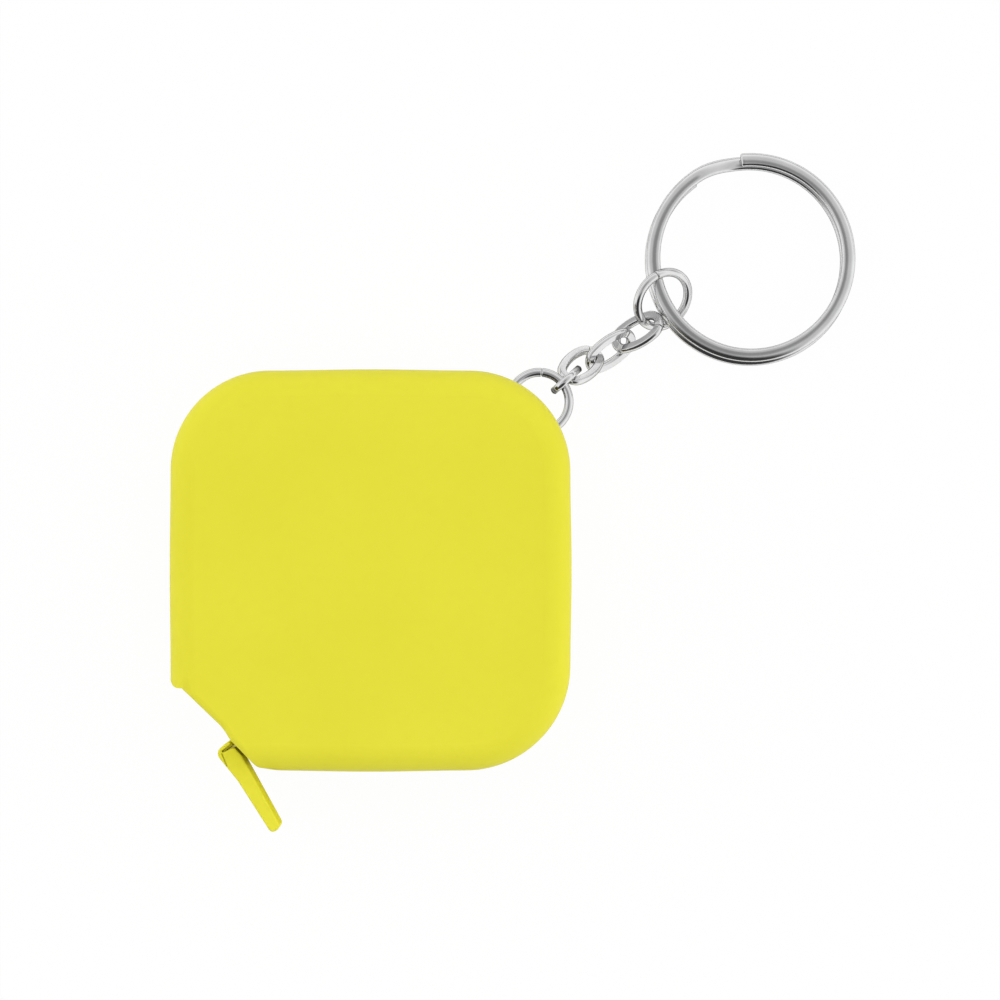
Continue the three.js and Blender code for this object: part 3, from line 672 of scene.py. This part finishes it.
chain = {
    "ringCentre": (19.8823, 19.8823, 9.0), "jumpRadius": 3.5, "jumpWire": 1.04, "jumpGap": math.radians(0.3),
    "jumpCuts": (85.5, 60), "jumpSteps": 96, "endRound": 0.14, "endSteps": 3,
    "linkLength": 7.1, "linkWidth": 4.5, "linkWire": 1.15, "linkEndShare": 0.85,
    # the drawn wire is a little under its nominal size, and is pressed flat on two sides
    "linkSection": 1.1, "linkFlat": 0.78, "pressRound": 0.07, "pressSteps": 3, "wireSteps": 24,
    "linkSteps": 72, "leastSteps": 4, "seams": (-40, 30, 35, -30), "seamGap": 0.05,
    "seamRound": 0.07, "seamSteps": 2, "sharpAngle": 50,
    "lie": [  # heading, slope, roll, pull, hang in degrees, slack as a share of the wire
        (42.8, 80.2, 91, -17.6, 99.3, 0.49), (43.2, 41.1, -21.6, 27.3, 78.6, 0.23),
        (34.9, 12.2, 42.9, 70.7, 19, 0.39), (27.6, -18.1, -36.7, 24.3, -0.5, 0.58),
    ],
    "keyJump": (52.2, 0, 40, 15.6, -29.2, 0.49), "keyJumpGrip": 186.8,
}
endFaceCorners = 8  # only the two end faces of a spun wire have more corners than this


def lieOf(heading, slope, roll):
    return (
        Matrix.Rotation(math.radians(heading), 4, "Z")
        @ Matrix.Rotation(math.radians(slope), 4, "Y")
        @ Matrix.Rotation(math.radians(roll), 4, "X")
    )


def hangWay(pull, hang):
    pull, hang = math.radians(pull), math.radians(hang)
    return Vector((math.cos(hang) * math.cos(pull), math.cos(hang) * math.sin(pull), -math.sin(hang)))


def standCircle(bm, radius, steps):
    # a filled circle in the XZ plane
    made = bmesh.ops.create_circle(bm, cap_ends=True, segments=steps, radius=radius)
    bmesh.ops.rotate(bm, verts=made["verts"], cent=(0, 0, 0), matrix=Matrix.Rotation(math.pi / 2, 3, "X"))


def turnAll(bm, angle):
    bmesh.ops.rotate(bm, verts=bm.verts[:], cent=(0, 0, 0), matrix=Matrix.Rotation(angle, 3, "Z"))


def wireProfile(bm, radius, flat, steps):
    # a round wire's section, with its two faces pressed flat where flat is under 1
    standCircle(bm, radius * mm, steps)
    if flat < 1:
        level = flat * radius * mm
        for side in (1, -1):
            bmesh.ops.bisect_plane(
                bm, geom=bm.verts[:] + bm.edges[:] + bm.faces[:], plane_co=(0, 0, side * level),
                plane_no=(0, 0, side), clear_outer=True,
            )
        corners = [v for v in bm.verts if abs(abs(v.co.z) - level) < hair]
        bevelCorners(bm, corners, chain["pressRound"], chain["pressSteps"])


def roundEnds(bm, width, steps, bare=1.0):
    # rounds the rims of the two end faces that a spun wire has, and marks them for the near-black end colour:
    # unplated cut steel, painted darker as the shade at the wire's ends
    mark = bm.verts.layers.float.new("cut")
    rims = [edge for edge in bm.edges if any(len(face.verts) > endFaceCorners for face in edge.link_faces)]
    bevelEdges(bm, rims, width, steps, clamp=True)
    for face in bm.faces:
        if len(face.verts) > endFaceCorners:
            for vert in face.verts:
                vert[mark] = bare


def wireRing(cutAt):
    gap = chain["jumpGap"]
    bm = bmesh.new()
    wireProfile(bm, chain["jumpWire"] / 2, 1, chain["wireSteps"])
    bmesh.ops.translate(bm, verts=bm.verts[:], vec=(chain["jumpRadius"] * mm, 0, 0))
    turnAll(bm, math.radians(cutAt) + gap / 2)
    bmesh.ops.spin(
        bm, geom=bm.faces[:] + bm.edges[:] + bm.verts[:], cent=(0, 0, 0), axis=(0, 0, 1), angle=turn - gap,
        steps=chain["jumpSteps"], use_merge=False,
    )
    closeUp(bm)
    roundEnds(bm, chain["endRound"], chain["endSteps"])
    return bm


def linkWire(seamAt):
    # an oval of four arcs, carried round from its seam to its seam
    endReach = (chain["linkLength"] - chain["linkWire"]) / 2
    sideReach = (chain["linkWidth"] - chain["linkWire"]) / 2
    endRadius = chain["linkEndShare"] * sideReach
    endAway = endReach - endRadius
    sideRadius = (endAway**2 + sideReach**2 - endRadius**2) / (2 * (sideReach - endRadius))
    sideTurn = math.asin(endAway / (sideRadius - endRadius))
    endTurn = turn / 4 - sideTurn
    seam = math.radians(seamAt)
    arcs = []
    for quarter in range(4):
        facing = quarter * turn / 4
        away, half = ((endAway, endTurn), (sideReach - sideRadius, sideTurn))[quarter % 2]
        arcs.append((Vector((math.cos(facing), math.sin(facing), 0)) * away * mm, 2 * half))
    gap = chain["seamGap"] / endRadius
    runs = [(arcs[0][0], endTurn - seam - gap / 2), *arcs[1:], (arcs[0][0], endTurn + seam - gap / 2)]

    bm = bmesh.new()
    wireProfile(bm, chain["linkSection"] / 2, chain["linkFlat"], chain["wireSteps"])
    bmesh.ops.translate(bm, verts=bm.verts[:], vec=(endRadius * mm, 0, 0))
    turnAll(bm, seam + gap / 2)
    bmesh.ops.translate(bm, verts=bm.verts[:], vec=arcs[0][0])
    geom = bm.faces[:] + bm.edges[:] + bm.verts[:]
    for centre, angle in runs:
        steps = max(chain["leastSteps"], round(angle / turn * chain["linkSteps"]))
        made = bmesh.ops.spin(
            bm, geom=geom, cent=centre, axis=(0, 0, 1), angle=angle, steps=steps, use_merge=False,
        )
        geom = made["geom_last"]
    closeUp(bm)
    roundEnds(bm, chain["seamRound"], chain["seamSteps"])
    return bm


def placeWire(name, bm, place, lie, body, node):
    bmesh.ops.transform(bm, matrix=Matrix.Translation(place * mm) @ lie, verts=bm.verts[:])
    wire = toPiece(name, bm, [nickel])
    finishPiece(wire, nickel, body, [node], chain["sharpAngle"])
    return wire


def makeChain():
    caseCut, keyCut = chain["jumpCuts"]
    centre = Vector(chain["ringCentre"])
    placeWire("jumpRingCase", wireRing(caseCut), centre, Matrix(), "case_ring", "jump_ring_case")

    first = math.radians(chain["lie"][0][0])
    end = centre + Vector((math.cos(first), math.sin(first), 0)) * chain["jumpRadius"]
    contact = (chain["jumpWire"] + chain["linkWire"]) / 2
    reach = (chain["linkLength"] - chain["linkWire"]) / 2
    for number, (heading, slope, roll, pull, hang, slack) in enumerate(chain["lie"], 1):
        lie = lieOf(heading, slope, roll)
        along = lie.to_3x3() @ Vector((1, 0, 0))
        near = end - hangWay(pull, hang) * (contact + slack * chain["linkWire"])
        bm, middle = linkWire(chain["seams"][number - 1]), near + along * reach
        placeWire(f"chainLink{number}", bm, middle, lie, f"link_{number}", f"chain_link_{number}")
        end = near + along * 2 * reach
        contact = chain["linkWire"]

    heading, slope, roll, pull, hang, slack = chain["keyJump"]
    lie = lieOf(heading, slope, roll)
    grip = math.radians(chain["keyJumpGrip"])
    gripAt = lie.to_3x3() @ (Vector((math.cos(grip), math.sin(grip), 0)) * chain["jumpRadius"])
    contact = (chain["jumpWire"] + chain["linkWire"]) / 2
    centre = end - hangWay(pull, hang) * (contact + slack * chain["linkWire"]) - gripAt
    placeWire("jumpRingKey", wireRing(keyCut), centre, lie, "key_jump", "jump_ring_key")
    print("chain made")
    return centre


keyJumpCentre = makeChain()

keyRing = {
    "radius": 12.45, "width": 1.6, "height": 1.0, "layerGap": 0.06, "offset": 0.4, "offsetHeading": 250.0,
    "jog": math.radians(28.5), "heading": 25.4, "endAt": 96.0, "sag": 0.23, "steps": 288,
    # the band's two ends are painted half-dark: unplated cut steel with painted shade
    "profileSteps": 28, "squareness": 2.25, "crown": 0.24, "endRound": 0.25, "endSteps": 4, "endBareAndShade": 0.4,
}


def smoothStep(share):
    return share * share * (3 - 2 * share)


def bandProfile(bm):
    # the rolled band's section: a squarish oval, whose crown lies a little inward of its middle
    standCircle(bm, 1, keyRing["profileSteps"])
    power = 2 / keyRing["squareness"]
    for vert in bm.verts:
        across = math.copysign(abs(vert.co.x) ** power, vert.co.x)
        across -= keyRing["crown"] * (1 - across * across)
        vert.co.x = across * keyRing["width"] / 2 * mm
        vert.co.z = math.copysign(abs(vert.co.z) ** power, vert.co.z) * keyRing["height"] / 2 * mm


def makeKeyRing():
    # two turns of one band, which steps down from the upper to the lower on the way
    middle = keyRing["radius"] - keyRing["width"] / 2
    jog = keyRing["jog"]
    full = 2 * (turn - jog) + jog
    steps = keyRing["steps"]
    rise = keyRing["height"] + keyRing["layerGap"]
    offsetAngle = math.radians(keyRing["offsetHeading"] - keyRing["heading"])
    offset = Vector((math.cos(offsetAngle), math.sin(offsetAngle), 0)) * keyRing["offset"]

    bm = bmesh.new()
    bandProfile(bm)
    bmesh.ops.translate(bm, verts=bm.verts[:], vec=(middle * mm, 0, rise / 2 * mm))
    turnAll(bm, math.radians(keyRing["endAt"] - keyRing["heading"]))

    def settle(swing):
        return smoothStep(min(max((swing - (turn - jog)) / jog, 0), 1))

    centre = Vector((0, 0, 0))
    geom = bm.faces[:] + bm.edges[:] + bm.verts[:]
    for step in range(steps):
        before, after = settle(full * step / steps), settle(full * (step + 1) / steps)
        move = (offset - Vector((0, 0, rise))) * (after - before) * mm
        made = bmesh.ops.spin(
            bm, geom=geom, cent=centre, axis=(0, 0, -1), dvec=move, angle=full / steps, steps=1,
            use_merge=False,
        )
        centre = centre + move
        geom = made["geom_last"]
    closeUp(bm)
    roundEnds(bm, keyRing["endRound"], keyRing["endSteps"], keyRing["endBareAndShade"])

    # it rests in the jump ring at the near side and on the table at the far side
    grip = Vector((keyJumpCentre.x, keyJumpCentre.y, keyJumpCentre.z - keyRing["sag"]))
    farHeight = keyRing["height"] + keyRing["layerGap"] / 2
    tilt = math.degrees(math.asin((grip.z - farHeight) / (middle + keyRing["radius"])))
    lie = lieOf(keyRing["heading"], tilt, 0)
    place = grip + lie.to_3x3() @ Vector((middle, 0, 0))
    ring = placeWire("keyRing", bm, place, lie, "key_ring", "key_ring")
    print("key ring made:", len(ring.data.polygons))


makeKeyRing()


# Tape between the mouth and the tab

tape = {
    "width": 10.0, "thickness": 0.28, "from": -0.25, "to": 1.4, "pull": 980.0, "stations": 80, "halvings": 50,
    "fresh": (0.86, 0.77, 0.15, 1), "worn": (0.80, 0.71, 0.13, 1), "ink": (0.02, 0.02, 0.02, 1),
    "markScale": 400, "smooth": 0.3, "rough": 0.4,
    "ticks": ((1, 0.2, 2.2), (5, 0.22, 3.2), (10, 0.25, 10.0)),  # spacing, line width and length in mm
}


def restShare(pulled):
    # where along the slack stretch a point lies that comes to the given distance at full pull, in mm
    span = tape["to"] - tape["from"]
    low, high = 0.0, 1.0
    for _ in range(tape["halvings"]):
        share = (low + high) / 2
        if share * span + smoothStep(share) * tape["pull"] < pulled:
            low = share
        else:
            high = share
    return (low + high) / 2


def tickInk(make):
    # the strip's own UV runs in metres along it, and from 0 to 1 across it
    run = make("UVMap", {"uv_map": "run"}).outputs["UV"]
    parts = make("SeparateXYZ", inputs={"Vector": run}).outputs
    along = mathNode(make, "MULTIPLY", parts["X"], 1 / mm)
    across = mathNode(make, "MULTIPLY", parts["Y"], tape["width"])
    ink = 0.0
    for every, line, reach in tape["ticks"]:
        place = mathNode(make, "MODULO", mathNode(make, "ADD", along, line / 2), every)
        inLine = mathNode(make, "LESS_THAN", place, line)
        inReach = mathNode(make, "LESS_THAN", across, reach)
        ink = mathNode(make, "MAXIMUM", ink, mathNode(make, "MULTIPLY", inLine, inReach))
    return ink


def makeTape():
    span = tape["to"] - tape["from"]
    middle = case["depth"] / 2
    stations = [restShare((tape["pull"] + span) * i / tape["stations"]) for i in range(tape["stations"] + 1)]
    stations[0], stations[-1] = 0.0, 1.0
    bm = bmesh.new()
    start = Vector(case["mouth"]) + exitWay * tape["from"]
    side = exitSide * tape["thickness"] / 2
    low, high = middle - tape["width"] / 2, middle + tape["width"] / 2
    corners = [(start - side, low), (start + side, low), (start + side, high), (start - side, high)]
    bm.faces.new([bm.verts.new(Vector((spot.x, spot.y, z)) * mm) for spot, z in corners])
    geom = bm.faces[:]
    for station, (before, after) in enumerate(zip(stations, stations[1:])):
        made = bmesh.ops.extrude_face_region(bm, geom=geom)
        if station:
            bmesh.ops.delete(bm, geom=geom, context="FACES_ONLY")
        step = exitWay * (after - before) * span * mm
        bmesh.ops.translate(bm, verts=vertsOf(made["geom"]), vec=(step.x, step.y, 0))
        geom = [item for item in made["geom"] if isinstance(item, bmesh.types.BMFace)]
    bmesh.ops.recalc_face_normals(bm, faces=bm.faces[:])
    uv = bm.loops.layers.uv.new("run")
    for face in bm.faces:
        for corner in face.loops:
            spot = Vector((corner.vert.co.x, corner.vert.co.y)) / mm
            share = min(max((spot - start).dot(exitWay) / span, 0), 1)
            pulled = share * span + smoothStep(share) * tape["pull"]
            corner[uv].uv = (pulled * mm, (corner.vert.co.z / mm - low) / tape["width"])
    printedTape = coatedTape("printed tape", tape, tickInk)
    strip = toPiece("tapeRun", bm, [printedTape])
    finishPiece(strip, printedTape, None, ["tape_lead"])
    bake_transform(strip)
    print("tape made")


makeTape()

for node, material in (
    ("spool_drum", drumPlastic), ("spool_cover", drumPlastic), ("tape_coil", woundTape),
    ("tape_feed", woundTape), ("mainspring", springSteel),
):
    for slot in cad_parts[node].material_slots:
        slot.material = material
print("inner pieces dressed")


# Floor, light and camera, in metres

studio = {
    "floor": 4.0, "floorCells": 8, "floorDrop": 0.00002, "floorColour": (0.90, 0.90, 0.90, 1),
    "whiteShare": 0.965, "glossShare": 0.3,
    # each level is how bright that part of the sky is, and each range is where the light turns to it
    "highLevel": 0.58, "skyLevel": 0.92, "highRange": (0.45, 0.9),
    "zenithShare": 0.46, "zenithRange": (0.93, 0.995), "lowRange": (0.12, 0.4),
    "northLevel": 0.42, "northRange": (-0.1, 0.45),
    "southAt": (-0.1, -0.82, 0.56), "southLevel": 0.05, "southRange": (0.72, 0.92),
    "lamps": (  # place, size and power
        ((0.0, 0.05, 1.0), 0.8, 3.6), ((-0.85, 0.25, 0.35), 0.6, 2.1), ((0.92, -0.08, 0.3), 0.6, 2.4),
        ((0.25, -0.85, 0.3), 0.6, 1.0),
    ),
    "cameraAt": (0.01522, 0.008285, 1.0), "viewWidth": 0.119286, "film": 36.0, "clip": (0.01, 50.0),
}


def seenRays(make, path):
    # 1 where the camera looks straight, or through something, at this surface
    return mathNode(make, "MAXIMUM", path["Is Camera Ray"], path["Is Transmission Ray"])


def makeFloor():
    bm = bmesh.new()
    cells = studio["floorCells"]
    bmesh.ops.create_grid(bm, x_segments=cells, y_segments=cells, size=studio["floor"] / 2)
    material, make = newMaterial("studio floor")
    path = make("LightPath").outputs
    seen = mathNode(make, "MULTIPLY", seenRays(make, path), studio["whiteShare"])
    share = mathNode(make, "MULTIPLY_ADD", path["Is Glossy Ray"], studio["glossShare"], seen)
    plain = make("BsdfDiffuse", inputs={"Color": studio["floorColour"]})
    white = make("Emission", inputs={"Strength": 1.0})
    mix = make("MixShader", inputs={0: share, 1: plain.outputs["BSDF"], 2: white.outputs["Emission"]})
    make("OutputMaterial", inputs={"Surface": mix.outputs["Shader"]})
    floor = toPiece("floor", bm, [material])
    floor.data.transform(Matrix.Translation((0, 0, -studio["floorDrop"])))


def makeSky():
    world = bpy.data.worlds.new("studio")
    world.use_nodes = True
    scene.world = world
    make = nodeMaker(world.node_tree)
    way = make("TexCoord").outputs["Generated"]
    parts = make("SeparateXYZ", inputs={"Vector": way}).outputs

    def level(value, low, high, where):
        return spread(make, value, low, high, *studio[where], "SMOOTHSTEP")

    # bright all round, grey above, grey low in the north, and dark half-way up in the south
    sky = level(parts["Z"], studio["skyLevel"], studio["highLevel"], "highRange")
    sky = mathNode(make, "MULTIPLY", sky, level(parts["Z"], 1, studio["zenithShare"], "zenithRange"))
    low = level(parts["Z"], 1, 0, "lowRange")
    north = level(parts["Y"], 0, 1 - studio["northLevel"], "northRange")
    lowNorth = mathNode(make, "SUBTRACT", 1.0, mathNode(make, "MULTIPLY", low, north))
    sky = mathNode(make, "MULTIPLY", sky, lowNorth)
    toSouth = Vector(studio["southAt"]).normalized()
    facing = make("VectorMath", {"operation": "DOT_PRODUCT"}, {0: way, 1: toSouth}).outputs["Value"]
    sky = mathNode(make, "MULTIPLY", sky, level(facing, 1, studio["southLevel"], "southRange"))
    glow = make("Background", inputs={"Color": sky, "Strength": 1.0})
    white = make("Background", inputs={"Color": (1, 1, 1, 1), "Strength": 1.0})
    seen = seenRays(make, make("LightPath").outputs)
    mix = make("MixShader", inputs={0: seen, 1: glow.outputs["Background"], 2: white.outputs["Background"]})
    make("OutputWorld", inputs={"Surface": mix.outputs["Shader"]})


def makeLamps():
    for spot, size, power in studio["lamps"]:
        lamp = bpy.data.lights.new("softbox", "AREA")
        lamp.shape = "SQUARE"
        lamp.size = size
        lamp.energy = power
        box = bpy.data.objects.new("softbox", lamp)
        box.visible_glossy = False
        box.location = spot
        box.rotation_euler = (-box.location).to_track_quat("-Z", "Y").to_euler()
        scene.collection.objects.link(box)


def makeCamera():
    lens = bpy.data.cameras.new("camera")
    lens.sensor_width = studio["film"]
    lens.lens = studio["film"] * studio["cameraAt"][2] / studio["viewWidth"]
    lens.clip_start, lens.clip_end = studio["clip"]
    camera = bpy.data.objects.new("camera", lens)
    camera.location = studio["cameraAt"]
    scene.collection.objects.link(camera)
    scene.camera = camera


makeFloor()
makeSky()
makeLamps()
makeCamera()
scene.view_settings.view_transform = "Standard"
print("studio made")
